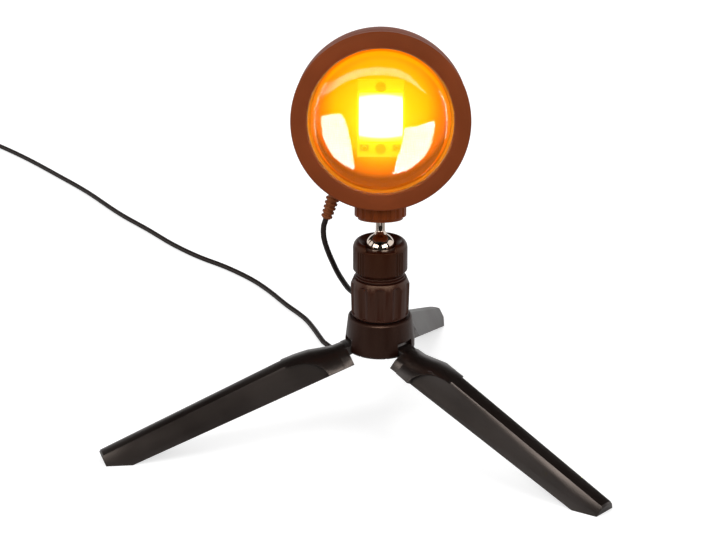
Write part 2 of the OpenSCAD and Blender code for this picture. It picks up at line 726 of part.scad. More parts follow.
// Coil: four layers that spiral in and out again, climbing a layer in the half turn at each reversal
coil_pitch = cord_d + 0.5;
coil_outer_r = 20;
coil_layers = 4;
coil_base_z = 2.3;
coil_centre = [switch_from[0] + coil_outer_r, 370];
layer_turns = coil_loops / coil_layers;
tail_flat = 12;
tail_drop = 34;
plug_z = 4.5;
plug_from = [switch_from[0], coil_centre[1] - tail_flat - tail_drop - 3];
function ease(t) = t <= 0 ? 0 : t >= 1 ? 1 : t * t * (3 - 2 * t);
function fold_back(u) = let (m = u % (2 * layer_turns)) m <= layer_turns ? m : 2 * layer_turns - m;
function climbed(u) = ease((u - layer_turns + 0.25) * 2) + ease((u - 2 * layer_turns + 0.25) * 2)
    + ease((u - 3 * layer_turns + 0.25) * 2);
function coil_at(u) = let (r = coil_outer_r - coil_pitch * fold_back(u), a = 180 + 360 * u)
    [coil_centre[0] + r * cos(a), coil_centre[1] + r * sin(a), coil_base_z + coil_pitch * climbed(u)];
coil_top_z = coil_base_z + coil_pitch * (coil_layers - 1);
coil_turns = [for (k = [0 : 24 * coil_loops]) coil_at(k / 24)];
coil_start_y = switch_from[1] - switch_l + 1.5;
coil_path = concat(
    [for (k = [0 : 3]) let (t = k / 4)
        [switch_from[0], coil_start_y - t * (coil_start_y - coil_centre[1]),
         switch_end_z + (coil_base_z - switch_end_z) * ease((t - 0.12) / 0.7)]],
    coil_turns,
    [for (s = [6 : 6 : tail_flat + tail_drop]) [switch_from[0], coil_centre[1] - s,
        coil_top_z + (plug_z - coil_top_z) * ease((s - tail_flat) / tail_drop)]],
    [[switch_from[0], plug_from[1] - 1, plug_z]]);
// Least gap between one turn and the turns that aren't its neighbours along the cord
coil_gap = min([for (i = [0 : len(coil_turns) - 1], j = [i + 12 : max(i + 12, len(coil_turns) - 1)])
    if (j < len(coil_turns)) norm(coil_turns[i] - coil_turns[j])]) - cord_d;
cord_length = length_of(smooth(hanging_points, steps_for(hanging_points, 8)))
    + length_of(smooth(floor_points, steps_for(floor_points, 11))) + switch_l + length_of(coil_path);
echo(coil_gap = coil_gap, cord_length = cord_length, column = [column_x, column_y]);

module cord_coil() {
    color("#1d1816") at_column() tube(coil_path, cord_d / 2, 6, [0, 0, 1]);
}

module coil_tie() {
    tie_t = 0.6;
    low = coil_base_z - cord_d / 2 - tie_t - 0.1;
    high = coil_top_z + cord_d / 2 + tie_t + 0.1;
    inner = coil_outer_r - coil_pitch * layer_turns - cord_d / 2 - tie_t - 0.3;
    outer = coil_outer_r + cord_d / 2 + tie_t + 0.3;
    color("#111111") at_column() translate([coil_centre[0], coil_centre[1], 0]) difference() {
        translate([inner, -2, low]) cube([outer - inner, 4, high - low]);
        translate([inner + tie_t, -3, low + tie_t])
            cube([outer - inner - 2 * tie_t, 6, high - low - 2 * tie_t]);
    }
}

// ---- inline switch and plug, lying on the floor with the cord along Y ----
// A straight-sided outline with round ends
function stadium(l, w) = concat(
    [for (a = [0 : 15 : 180]) [w / 2 * cos(a), l / 2 - w / 2 + w / 2 * sin(a)]],
    [for (a = [180 : 15 : 360]) [w / 2 * cos(a), -l / 2 + w / 2 + w / 2 * sin(a)]]);
module at_switch() { at_column() translate([switch_from[0], switch_from[1] - switch_l / 2, 0]) children(); }
module switch_bores() {
    for (side = [-1, 1]) translate([0, side * (switch_l / 2 - 1.5), switch_end_z])
        rotate([side * -90, 0, 0]) cylinder(r = cord_d / 2 + slack, h = 6);
}

button_r = 3.6;
lid_t = 1.6;
module switch_case() {
    color("#181413") at_switch() difference() {
        union() {
            linear_extrude(switch_split) polygon(stadium(switch_l - 3, switch_w));
            translate([-3.2, -switch_l / 2, 1]) cube([6.4, switch_l, switch_split - 1]);
        }
        translate([0, 0, 1.4]) linear_extrude(10) polygon(stadium(switch_l - 10, switch_w - 3));
        switch_bores();
    }
}

module switch_lid() {
    step_h = 1.4;
    color("#181413") at_switch() difference() {
        union() {
            translate([0, 0, switch_split + slack]) linear_extrude(switch_h - step_h - switch_split)
                polygon(stadium(switch_l - 3, switch_w));
            translate([0, 0, switch_h - step_h]) linear_extrude(step_h)
                polygon(stadium(switch_l - 5, switch_w - 2));
            translate([-3.2, -switch_l / 2, switch_split + slack]) cube([6.4, switch_l, 2.6]);
        }
        translate([0, 0, switch_split - 1]) linear_extrude(switch_h - lid_t - switch_split + 1)
            polygon(stadium(switch_l - 10, switch_w - 3));
        cylinder(r = button_r + run, h = 20);
        switch_bores();
    }
}

module switch_button() {
    flange_top = switch_h - lid_t - 0.05;
    color("#2e2a28") at_switch() {
        translate([0, 0, flange_top - 1]) cylinder(r = button_r + 1, h = 1);
        translate([0, 0, flange_top - 1]) cylinder(r = button_r, h = 3.6);
        translate([0, 0, flange_top + 2.6]) cylinder(r1 = button_r, r2 = button_r - 0.5, h = 0.5);
    }
}

plug_l = 26;
plug_w = 15.4;
plug_h = 8;
shell_w = 12;
shell_h = 4.5;
shell_l = 18.5;
shell_in = 6;
module at_plug() { at_column() translate([plug_from[0], plug_from[1], plug_z]) children(); }
module usb_plug() {
    color("#1a1615") at_plug() difference() {
        union() {
            translate([0, -plug_l / 2 - 3, -plug_h / 2]) linear_extrude(plug_h) polygon([
                [-plug_w / 2, -plug_l / 2 + 3], [plug_w / 2, -plug_l / 2 + 3],
                [plug_w / 2, plug_l / 2 - 5], [plug_w / 2 - 3, plug_l / 2 - 1],
                [-plug_w / 2 + 3, plug_l / 2 - 1], [-plug_w / 2, plug_l / 2 - 5]]);
            rotate([90, 0, 0]) cylinder(r1 = 2.4, r2 = 3.2, h = 6);
        }
        translate([0, 1, 0]) rotate([90, 0, 0]) cylinder(r = cord_d / 2 + slack, h = 2);
        translate([-shell_w / 2 - slack, -plug_l - 1, -shell_h / 2 - slack])
            cube([shell_w + 2 * slack, shell_in + 1, shell_h + 2 * slack]);
    }
}
shell_from = -plug_l + shell_in - slack;
module usb_shell() {
    wall_t = 0.35;
    color(bright) at_plug() difference() {
        translate([-shell_w / 2, shell_from - shell_l, -shell_h / 2]) cube([shell_w, shell_l, shell_h]);
        translate([-shell_w / 2 + wall_t, shell_from - shell_l - 1, -shell_h / 2 + wall_t])
            cube([shell_w - 2 * wall_t, shell_l, shell_h - 2 * wall_t]);
        for (side = [-1, 1]) translate([side * 2.8 - 1.1, shell_from - shell_l + 6, 0]) cube([2.2, 2.6, 5]);
    }
}
module usb_tongue() {
    color("#e8e6e0") at_plug()
        translate([-5.5, shell_from - shell_l + 1, -shell_h / 2 + 0.35 + slack])
            cube([11, shell_l - 2.1, 1.8]);
}

front_ring();
lens();
lens_gasket();
sunset_filter();
filter_ring();
lamp_chamber();
led_board();
led();
led_screws();
led_terminals();
heat_sink();
heat_sink_screws();
driver_board();
drum();
rear_cover();
rear_cover_screws();
thread_insert();
strain_relief();
ball_stud();
lock_ring();
ball_collar();
base_grip();
ball_seat();
seat_spring();
hub();
hub_screw();
hub_washer();
friction_pad();
hub_cover();
hinge_pins();
leg(0);  // left_leg
leg(1);  // right_leg
leg(2);  // rear_leg
cord_hanging();
cord_floor();
cord_coil();
coil_tie();
switch_case();
switch_lid();
switch_button();
usb_plug();
usb_shell();
usb_tongue();
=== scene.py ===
"""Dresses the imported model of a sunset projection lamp: its finishes, its cord and its studio."""

import json
import math

import bmesh
import bpy
from bpy.props import FloatProperty, FloatVectorProperty, IntProperty, PointerProperty
from mathutils import Matrix, Vector

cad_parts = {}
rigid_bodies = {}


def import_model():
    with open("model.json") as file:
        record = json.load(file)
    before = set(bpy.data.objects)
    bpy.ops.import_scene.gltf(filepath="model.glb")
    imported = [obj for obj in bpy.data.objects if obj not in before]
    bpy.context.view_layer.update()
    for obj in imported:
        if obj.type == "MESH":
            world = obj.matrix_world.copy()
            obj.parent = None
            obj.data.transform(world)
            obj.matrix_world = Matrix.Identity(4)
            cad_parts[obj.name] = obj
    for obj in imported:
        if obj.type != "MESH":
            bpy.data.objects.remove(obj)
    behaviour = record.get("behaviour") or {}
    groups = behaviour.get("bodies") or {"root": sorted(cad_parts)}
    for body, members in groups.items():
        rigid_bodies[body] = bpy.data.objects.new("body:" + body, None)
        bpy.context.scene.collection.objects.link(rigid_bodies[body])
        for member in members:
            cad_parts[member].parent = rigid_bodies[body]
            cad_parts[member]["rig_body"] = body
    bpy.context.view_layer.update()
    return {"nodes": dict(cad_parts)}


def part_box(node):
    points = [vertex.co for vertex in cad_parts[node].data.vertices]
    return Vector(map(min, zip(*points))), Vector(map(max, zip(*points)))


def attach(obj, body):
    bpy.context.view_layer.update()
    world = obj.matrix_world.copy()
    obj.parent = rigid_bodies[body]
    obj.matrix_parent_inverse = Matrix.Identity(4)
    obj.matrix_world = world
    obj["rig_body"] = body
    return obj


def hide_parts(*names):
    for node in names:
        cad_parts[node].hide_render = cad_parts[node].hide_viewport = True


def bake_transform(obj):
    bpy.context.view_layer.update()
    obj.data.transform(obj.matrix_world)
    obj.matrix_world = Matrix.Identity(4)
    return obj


bl_info = {
    "name": "Sunset projection lamp",
    "version": (1, 0, 0),
    "blender": (4, 5, 0),
    "location": "View3D > Sidebar > Lamp",
    "description": "Makes the pieces, finishes and studio of a sunset projection lamp on a pocket tripod",
    "category": "Object",
}

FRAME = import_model()
MM = 0.001


def middle(node):
    """The centre of a CAD node's box."""
    low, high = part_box(node)
    return (Vector(low) + Vector(high)) / 2


# The column's axis stands through the middle of the hub; the stud and the lamp head lean back on its ball.
COLUMN = Matrix.Translation((middle("hub").x, middle("hub").y, 0))
BALL_HEIGHT = 102
HEAD_RISE = 69.8
LEAN = math.radians(9.5)
STUD = COLUMN @ Matrix.Translation((0, 0, BALL_HEIGHT * MM)) @ Matrix.Rotation(-LEAN, 4, "X")
HEAD = STUD @ Matrix.Translation((0, 0, HEAD_RISE * MM))
FACING = HEAD @ Matrix.Rotation(math.radians(90), 4, "X")


def linear(code):
    """An sRGB hex colour as linear RGB."""
    parts = [int(code[i : i + 2], 16) / 255 for i in (0, 2, 4)]
    return tuple(c / 12.92 if c <= 0.04045 else ((c + 0.055) / 1.055) ** 2.4 for c in parts)


def colour(name, code, what):
    """A colour property whose default is an sRGB hex colour."""
    return FloatVectorProperty(
        name=name, description=what, subtype="COLOR", size=3, min=0, max=1, default=linear(code)
    )


class LampSizes(bpy.types.PropertyGroup):
    """Sizes that may be changed without changing the frame."""

    cord_diameter: FloatProperty(
        name="Cord diameter", description="Outside diameter of the cord's jacket",
        default=3 * MM, min=1 * MM, max=8 * MM, unit="LENGTH",
    )
    edge: FloatProperty(
        name="Edge rounding", description="Rounding of the moulded plastic edges",
        default=0.35 * MM, min=0.05 * MM, max=1 * MM, unit="LENGTH",
    )
    steps: IntProperty(
        name="Steps round", description="Steps in a full turn of a round piece",
        default=180, min=48, max=720,
    )
    lens_distance: FloatProperty(
        name="Camera distance", description="Level distance from the column to the camera",
        default=1.168, min=0.4, max=4, unit="LENGTH",
    )


class LampColours(bpy.types.PropertyGroup):
    """Colours of the finishes."""

    head: colour("Lamp head", "803A19", "Moulded plastic of the ring and the drum")
    wheel: colour("Lock ring", "763007", "Moulded plastic of the fluted lock ring")
    collar: colour("Ball collar", "2D0B02", "Moulded plastic of the collar round the ball")
    grip: colour("Ball head base", "34130B", "Moulded plastic of the scalloped base")
    hub: colour("Hub", "200C07", "Moulded plastic of the hub")
    legs: colour("Legs", "120A08", "Moulded plastic of the legs")
    relief: colour("Strain relief", "7F4320", "Soft plastic of the cord's strain relief")
    cord: colour("Cord", "1E1512", "Cord jacket")
    chrome: colour("Bright metal", "DCCBBD", "Ball and stud")
    sunset_middle: colour("Filter middle", "FFDC3C", "Filter colour at its middle")
    sunset_edge: colour("Filter edge", "FFA818", "Filter colour at its edge")


# ---- materials ----
def node(tree, kind, values=None, links=None, **settings):
    """Adds a node with its settings, socket values and links, and returns it."""
    made = tree.nodes.new(kind)
    for key, value in settings.items():
        setattr(made, key, value)
    for key, value in (values or {}).items():
        made.inputs[key].default_value = value
    for key, source in (links or {}).items():
        tree.links.new(source, made.inputs[key])
    return made


def started(name):
    """A new material with its tree and its output node."""
    made = bpy.data.materials.new(name)
    made.use_nodes = True
    made.node_tree.nodes.clear()
    return made, made.node_tree, made.node_tree.nodes.new("ShaderNodeOutputMaterial")


def ramp(tree, source, stops):
    """A colour ramp with the given (position, colour) stops."""
    made = node(tree, "ShaderNodeValToRGB", links={"Fac": source})
    line = made.color_ramp
    while len(line.elements) < len(stops):
        line.elements.new(0.5)
    for element, (at, value) in zip(line.elements, stops):
        element.position = at
        element.color = (*value, 1)
    return made.outputs["Color"]


def moulded_plastic(name, base, roughness=0.42, grain=0.9, bump=0.12, shine=0.5, sheen=(1.0, 1.0, 1.0)):
    """Moulded plastic with a fine spark-eroded texture: satin, with slow changes in its gloss and shade.

    The grain is in millimetres; sheen tints what the surface mirrors straight on.
    """
    made, tree, out = started(name)
    darker = tuple(c * 0.88 for c in base)
    lighter = tuple(min(1, c * 1.12) for c in base)
    place = node(tree, "ShaderNodeTexCoord").outputs["Object"]
    # a real grain of 0.2 mm is finer than a pixel, so it is drawn at the size given
    fine = node(
        tree, "ShaderNodeTexNoise", {"Scale": 1 / (grain * MM), "Detail": 3.0, "Roughness": 0.6},
        {"Vector": place},
    )
    slow = node(tree, "ShaderNodeTexNoise", {"Scale": 1 / (30 * MM), "Detail": 2.0}, {"Vector": place})
    shade = ramp(tree, slow.outputs["Fac"], [(0.3, darker), (0.7, lighter)])
    gloss = node(
        tree, "ShaderNodeMapRange",
        {"From Min": 0.3, "From Max": 0.7, "To Min": roughness - 0.04, "To Max": roughness + 0.05},
        {"Value": slow.outputs["Fac"]},
    )
    raised = node(
        tree, "ShaderNodeBump", {"Strength": bump, "Distance": 0.1 * MM}, {"Height": fine.outputs["Fac"]}
    )
    skin = node(
        tree, "ShaderNodeBsdfPrincipled",
        {"IOR": 1.53, "Specular IOR Level": shine, "Specular Tint": (*sheen, 1)},
        {"Base Color": shade, "Roughness": gloss.outputs["Result"], "Normal": raised.outputs["Normal"]},
    )
    tree.links.new(skin.outputs["BSDF"], out.inputs["Surface"])
    return made


def metal(name, base, roughness, streak=0.0):
    """Bright metal whose gloss varies in fine level streaks, 1.5 mm long; streak widens that range."""
    made, tree, out = started(name)
    place = node(tree, "ShaderNodeTexCoord").outputs["Object"]
    stretched = node(tree, "ShaderNodeMapping", {"Scale": (1.0, 1.0, 14.0)}, {"Vector": place})
    marks = node(
        tree, "ShaderNodeTexNoise", {"Scale": 1 / (1.5 * MM), "Detail": 2.0},
        {"Vector": stretched.outputs["Vector"]},
    )
    gloss = node(
        tree, "ShaderNodeMapRange",
        {"To Min": max(0.02, roughness - 0.05 - streak), "To Max": roughness + 0.05 + streak},
        {"Value": marks.outputs["Fac"]},
    )
    skin = node(
        tree, "ShaderNodeBsdfPrincipled", {"Base Color": (*base, 1), "Metallic": 1.0},
        {"Roughness": gloss.outputs["Result"]},
    )
    tree.links.new(skin.outputs["BSDF"], out.inputs["Surface"])
    return made


def optical_glass(name):
    """Polished glass whose faint haze softens the edges of what it mirrors.

    Its tint takes what it mirrors straight on down to a quarter, so that the inside shows through: the LED and
    the light painted round it.
    """
    made, tree, out = started(name)
    place = node(tree, "ShaderNodeTexCoord").outputs["Object"]
    haze = node(tree, "ShaderNodeTexNoise", {"Scale": 1 / (20 * MM)}, {"Vector": place})
    gloss = node(
        tree, "ShaderNodeMapRange", {"To Min": 0.01, "To Max": 0.04}, {"Value": haze.outputs["Fac"]}
    )
    skin = node(
        tree, "ShaderNodeBsdfPrincipled",
        {
            "Base Color": (1.0, 0.99, 0.96, 1), "Transmission Weight": 1.0, "IOR": 1.48,
            "Specular Tint": (0.25, 0.23, 0.17, 1),
        },
        {"Roughness": gloss.outputs["Result"]},
    )
    tree.links.new(skin.outputs["BSDF"], out.inputs["Surface"])
    return made


def from_middle(tree, across, up, raised=0.0):
    """Distance from the lamp's optical axis, or a point raised over it, 1 at the given reach, in metres."""
    back = FACING.inverted()
    source = node(tree, "ShaderNodeTexCoord").outputs["Object"]
    turned = node(
        tree, "ShaderNodeMapping", {"Location": back.to_translation(), "Rotation": back.to_euler()},
        {"Vector": source},
    )
    scaled = node(
        tree, "ShaderNodeVectorMath", {1: (1 / across, 1 / up, 0), 2: (0, -raised / up, 0)},
        {0: turned.outputs["Vector"]}, operation="MULTIPLY_ADD",
    )
    reach = node(tree, "ShaderNodeVectorMath", links={0: scaled.outputs["Vector"]}, operation="LENGTH")
    return reach.outputs["Value"]


def sunset_glass(name, centre, edge):
    """Float glass under a coloured film, amber in the middle and orange toward its edge."""
    made, tree, out = started(name)
    tint = ramp(tree, from_middle(tree, 41 * MM, 41 * MM), [(0.3, centre), (0.9, edge)])
    skin = node(
        tree, "ShaderNodeBsdfPrincipled", {"Transmission Weight": 1.0, "IOR": 1.05, "Roughness": 0.0},
        {"Base Color": tint},
    )
    tree.links.new(skin.outputs["BSDF"], out.inputs["Surface"])
    return made


def led_and_painted_glow(name, base, stops, across, up, strength, shine=0.3, raised=0.0):
    """A glow that falls away from the middle, reach in millimetres: the LED's own light on the LED, painted
    LED light on the pieces round it.
    """
    made, tree, out = started(name)
    shade = ramp(tree, from_middle(tree, across * MM, up * MM, raised * MM), stops)
    skin = node(
        tree, "ShaderNodeBsdfPrincipled",
        {
            "Base Color": (*base, 1), "Roughness": 0.35, "Specular IOR Level": shine,
            "Emission Strength": strength,
        },
        {"Emission Color": shade},
    )
    tree.links.new(skin.outputs["BSDF"], out.inputs["Surface"])
    return made


def glowing(name, shade, strength):
    """An even glow, for the studio's cards and screens."""
    made, tree, out = started(name)
    shine = node(tree, "ShaderNodeEmission", {"Color": (*shade, 1), "Strength": strength})
    tree.links.new(shine.outputs["Emission"], out.inputs["Surface"])
    return made


# ---- shapes ----
EDGE_ANGLE = math.radians(25)
EDGE_SEGMENTS = 2


def placed(name, bm, place, body, material, replaced, sharp=35):
    """Makes a bmesh an object at the origin that stands for a CAD node, with its place in its mesh."""
    bmesh.ops.transform(bm, matrix=place, verts=bm.verts)
    mesh = bpy.data.meshes.new(name)
    bm.to_mesh(mesh)
    bm.free()
    mesh.polygons.foreach_set("use_smooth", [True] * len(mesh.polygons))
    mesh.set_sharp_from_angle(angle=math.radians(sharp))
    made = bpy.data.objects.new(name, mesh)
    bpy.context.scene.collection.objects.link(made)
    mesh.materials.append(material)
    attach(made, body)
    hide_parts(replaced)
    return made


def spun(outline, steps):
    """A bmesh of a closed outline of (radius, height) in millimetres, spun about Z."""
    bm = bmesh.new()
    verts = [bm.verts.new((r * MM, 0, z * MM)) for r, z in outline]
    edges = [bm.edges.new(pair) for pair in zip(verts, verts[1:])]
    edges.append(bm.edges.new((verts[-1], verts[0])))
    bmesh.ops.spin(
        bm, geom=verts + edges, cent=(0, 0, 0), axis=(0, 0, 1), angle=2 * math.pi, steps=steps, use_merge=True
    )
    bmesh.ops.remove_doubles(bm, verts=bm.verts, dist=1e-6)
    bmesh.ops.recalc_face_normals(bm, faces=bm.faces)
    return bm


def eased_copy(name, node_name, material, width):
    """A copy of a CAD node with its faces merged and its sharp edges rounded, which stands for the node."""
    source = FRAME["nodes"][node_name]
    bm = bmesh.new()
    bm.from_mesh(source.data)
    bmesh.ops.remove_doubles(bm, verts=bm.verts, dist=2e-6)
    bmesh.ops.dissolve_limit(bm, angle_limit=math.radians(1), verts=bm.verts, edges=bm.edges)
    hard = [e for e in bm.edges if len(e.link_faces) == 2 and e.calc_face_angle() > EDGE_ANGLE]
    bmesh.ops.bevel(
        bm, geom=hard, offset=width, offset_type="OFFSET", segments=EDGE_SEGMENTS, profile=0.5,
        affect="EDGES", clamp_overlap=True, material=-1,
    )
    return placed(name, bm, Matrix.Identity(4), source["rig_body"], material, node_name)


def finish(material, *names):
    """Gives CAD nodes that stay a material in place of their own."""
    for name in names:
        held = FRAME["nodes"][name]
        if not held.material_slots:
            held.data.materials.append(material)
        for slot in held.material_slots:
            slot.material = material


# ---- the cord's route, in millimetres from the column's axis on the floor ----
RELIEF_START = Vector((-23.4, 1, -38.4))
RELIEF_LEAN = math.radians(18)
RELIEF_LENGTH = 16.5
FLOOR = 1.5
SWITCH_END = 4.8
HANG_POINTS = [
    (-29.8, 3, 107), (-28, 5.5, 99), (-25.6, 9.5, 91), (-23, 14, 83), (-20.3, 19, 76), (-17.6, 24.5, 69.5),
    (-15.4, 31, 64.5), (-14, 38.5, 60), (-13.2, 46.5, 55), (-12.8, 54, 48), (-13, 62, 36), (-14.5, 70, 24),
    (-17, 77.5, 13), (-20.5, 84.5, 5.5), (-24.5, 91, 2),
]
RUN_POINTS = [
    (-24.5, 91, 2), (-28.5, 98, FLOOR), (-33, 106, FLOOR), (-38, 122, FLOOR), (-45, 141, FLOOR),
    (-57, 162, FLOOR), (-68, 183, FLOOR), (-80, 202, FLOOR), (-97, 222, FLOOR), (-115, 239, FLOOR),
    (-133, 260, FLOOR), (-152, 287, FLOOR), (-174, 317, FLOOR), (-200, 358, FLOOR), (-224, 391, FLOOR),
    (-249, 424, FLOOR), (-272, 451, FLOOR), (-290, 468, FLOOR), (-306, 472, FLOOR), (-318, 464, FLOOR),
    (-322, 452, 2.4), (-322, 443, 4.4), (-322, 438, SWITCH_END),
]
HANG_GAP = 4
RUN_GAP = 8
# The hanging stretch is cut at these shares of its points, into one piece between each two moving bodies.
HANG_CUTS = (0.28, 0.54)
SWITCH = (-322, 439.5)
SWITCH_LENGTH = 46
INSIDE_SWITCH = 1.5
COIL_MIDDLE = (-302, 370)
COIL_RADIUS = 20
COIL_PITCH = 3.5
COIL_LOOPS = 7
COIL_LAYERS = 4
COIL_LOW = 2.3
LOOP_STEPS = 24
PLUG_Z = 4.5
PLUG_REACH = 50


def smooth_line(points, gap):
    """Points about every gap along the smooth curve through the given points."""
    line = []
    for i, (b, c) in enumerate(zip(points, points[1:])):
        a, d = points[max(i - 1, 0)], points[min(i + 2, len(points) - 1)]
        steps = max(1, round((c - b).length / gap))
        for k in range(steps):
            t = k / steps
            bend = (2 * a - 5 * b + 4 * c - d) * t * t
            line.append(0.5 * (2 * b + (c - a) * t + bend + (3 * b - a - 3 * c + d) * t**3))
    return line + [points[-1]]


def settle(t):
    """0 to 1 with a soft start and end."""
    t = min(max(t, 0), 1)
    return t * t * (3 - 2 * t)


def hanging_line():
    """From the strain relief's tip, down behind the column to the floor."""
    down = Vector((-math.sin(RELIEF_LEAN), 0, -math.cos(RELIEF_LEAN)))
    turn = Matrix.Rotation(-LEAN, 3, "X")
    tip = RELIEF_START + Vector((0, 0, HEAD_RISE)) + down * (RELIEF_LENGTH - 1)
    start = turn @ tip + Vector((0, 0, BALL_HEIGHT))
    way = turn @ down
    return smooth_line([start, start + 5 * way] + [Vector(p) for p in HANG_POINTS], HANG_GAP)


def coil_line():
    """From the switch into the coil, round its loops and out to the plug."""
    turns = COIL_LOOPS / COIL_LAYERS
    line = []
    # from the switch down to the floor
    from_y = SWITCH[1] - SWITCH_LENGTH + INSIDE_SWITCH
    for k in range(4):
        t = k / 4
        y = from_y - t * (from_y - COIL_MIDDLE[1])
        line.append(Vector((SWITCH[0], y, SWITCH_END + (COIL_LOW - SWITCH_END) * settle((t - 0.12) / 0.7))))
    # each layer winds in or out, and the next one lies on it
    for k in range(LOOP_STEPS * COIL_LOOPS + 1):
        u = k / LOOP_STEPS
        folded = u % (2 * turns)
        radius = COIL_RADIUS - COIL_PITCH * (folded if folded <= turns else 2 * turns - folded)
        climbed = sum(settle((u - n * turns + 0.25) * 2) for n in range(1, COIL_LAYERS))
        angle = math.pi + 2 * math.pi * u
        x, y = COIL_MIDDLE[0] + radius * math.cos(angle), COIL_MIDDLE[1] + radius * math.sin(angle)
        line.append(Vector((x, y, COIL_LOW + COIL_PITCH * climbed)))
    # from the top layer down to the plug
    top = COIL_LOW + COIL_PITCH * (COIL_LAYERS - 1)
    for s in range(6, 47, 6):
        line.append(Vector((SWITCH[0], COIL_MIDDLE[1] - s, top + (PLUG_Z - top) * settle((s - 12) / 34))))
    line.append(Vector((SWITCH[0], COIL_MIDDLE[1] - PLUG_REACH, PLUG_Z)))
    return line


def jacket(name, line, diameter, material):
    """A tube along a line, swept by a curve and made a mesh."""
    data = bpy.data.curves.new(name, "CURVE")
    data.dimensions = "3D"
    data.bevel_depth = diameter / 2
    data.bevel_resolution = 4
    data.use_fill_caps = True
    spline = data.splines.new("POLY")
    spline.points.add(len(line) - 1)
    for point, at in zip(spline.points, line):
        point.co = (*at, 1)
    drawn = bpy.data.objects.new(name + "_line", data)
    bpy.context.scene.collection.objects.link(drawn)
    bpy.context.view_layer.update()
    mesh = bpy.data.meshes.new_from_object(drawn.evaluated_get(bpy.context.evaluated_depsgraph_get()))
    bpy.data.objects.remove(drawn)
    bpy.data.curves.remove(data)
    mesh.name = name
    mesh.materials.clear()
    mesh.materials.append(material)
    mesh.polygons.foreach_set("use_smooth", [True] * len(mesh.polygons))
    made = bpy.data.objects.new(name, mesh)
    bpy.context.scene.collection.objects.link(made)
    return made


def in_frame(line):
    """Points in millimetres from the column's foot as points of the frame."""
    return [COLUMN @ (p * MM) for p in line]


# ---- the studio ----
# The light cards stand 180 mm in front of the column, and only the lens mirrors them. Each has its strength
# and its outline of (x, z) corners in millimetres from the column's foot. The outlines were worked out from
# the patches on the photographed lens, so they suit the camera's place and no other.
CARD_Y = -180
CARD_SHADE = (0.8, 0.82, 1.0)
CARDS = {
    "card_left": (115.0, [
        (-212, 185), (-157, 198), (-116, 200), (-95, 153), (-84, 99), (-80, 11),
        (-116, 26), (-157, 44), (-179, 74), (-198, 107), (-209, 143),
    ]),
    "card_right": (115.0, [
        (67, 164), (116, 167), (183, 173), (177, 137), (165, 94), (147, 60),
        (119, 32), (83, 7), (37, 2), (53, 73), (64, 123),
    ]),
    "card_arch": (24.0, [
        (-229, 263), (-210, 295), (-174, 332), (-137, 351), (-97, 365), (-52, 372), (-9, 375), (34, 373),
        (71, 363), (103, 341), (129, 316), (149, 286), (163, 260), (124, 297), (98, 314), (66, 326),
        (31, 334), (-8, 337), (-48, 335), (-80, 329), (-108, 319), (-137, 310), (-167, 291), (-189, 277),
    ]),
}
# Two more, far out to the left and right, have (y, z) corners.
FAR_CARD_X = 350
FAR_CARD_STRENGTH = 140.0
FAR_CARD = ((-200, 5), (-90, 5), (-90, 420), (-200, 420))
# Soft boxes: turn about the column, place before that turn, tip, size and strength, in degrees and metres.
SOFT_BOX_SHADE = (1.0, 0.93, 0.87)
FRONT_BOXES = {
    "soft_box_left": (-42, (0, -1.5, 1.05), 57, (1.4, 0.6), 5.0),
    "soft_box_right": (42, (0, -1.5, 1.05), 57, (1.4, 0.6), 5.0),
}
HIGH_BOXES = {"soft_box_high": (0, (0, -1.1, 1.5), 38, (0.9, 0.6), 18.0)}
# Area lamps of one size: place in metres and power in watts. They point at a spot on the column.
LAMP_SIZE = 1.0
LAMP_AIM = Vector((0, 0, 0.1))
LAMPS = {
    "key": ((-1.1, -1.0, 1.5), 13.0),
    "fill": ((1.3, -0.7, 1.1), 7.0),
    "back": ((0.3, 1.5, 1.4), 8.0),
}


def studio_piece(name, bm, material, glossy_only=False):
    """A floor, card or screen of the studio, which isn't part of the lamp."""
    mesh = bpy.data.meshes.new(name)
    bm.to_mesh(mesh)
    bm.free()
    mesh.materials.append(material)
    made = bpy.data.objects.new(name, mesh)
    bpy.context.scene.collection.objects.link(made)
    if glossy_only:
        made.visible_camera = made.visible_diffuse = made.visible_transmission = False
        made.visible_volume_scatter = made.visible_shadow = False
    return made


def light_cards(glass):
    """Cards that the lens mirrors as soft window-like patches and an arch."""
    only_glass = bpy.data.collections.new("mirrors_the_cards")
    only_glass.objects.link(glass)
    outlines = {
        name: (strength, [(x, CARD_Y, z) for x, z in corners]) for name, (strength, corners) in CARDS.items()
    }
    for side, name in ((-1, "card_far_left"), (1, "card_far_right")):
        outlines[name] = (FAR_CARD_STRENGTH, [(side * FAR_CARD_X, y, z) for y, z in FAR_CARD])
    for name, (strength, corners) in outlines.items():
        bm = bmesh.new()
        bm.faces.new([bm.verts.new(COLUMN @ (Vector(corner) * MM)) for corner in corners])
        bmesh.ops.triangulate(bm, faces=bm.faces)
        card = studio_piece(name, bm, glowing(name + "_glow", CARD_SHADE, strength), True)
        card.light_linking.receiver_collection = only_glass


def white_world(scene):
    """White to the camera, in glass and in glossy surfaces, and half as bright on matt ones."""
    world = bpy.data.worlds.new("studio")
    scene.world = world
    world.use_nodes = True
    tree = world.node_tree
    tree.nodes.clear()
    path = node(tree, "ShaderNodeLightPath").outputs
    seen = node(
        tree, "ShaderNodeMath", links={0: path["Is Camera Ray"], 1: path["Is Transmission Ray"]},
        operation="MAXIMUM",
    )
    seen = node(
        tree, "ShaderNodeMath", links={0: seen.outputs["Value"], 1: path["Is Glossy Ray"]},
        operation="MAXIMUM",
    )
    strength = node(
        tree, "ShaderNodeMapRange", {"To Min": 0.5, "To Max": 1.0}, {"Value": seen.outputs["Value"]}
    )
    sky = node(
        tree, "ShaderNodeBackground", {"Color": (1, 1, 1, 1)}, {"Strength": strength.outputs["Result"]}
    )
    node(tree, "ShaderNodeOutputWorld", links={"Surface": sky.outputs["Background"]})


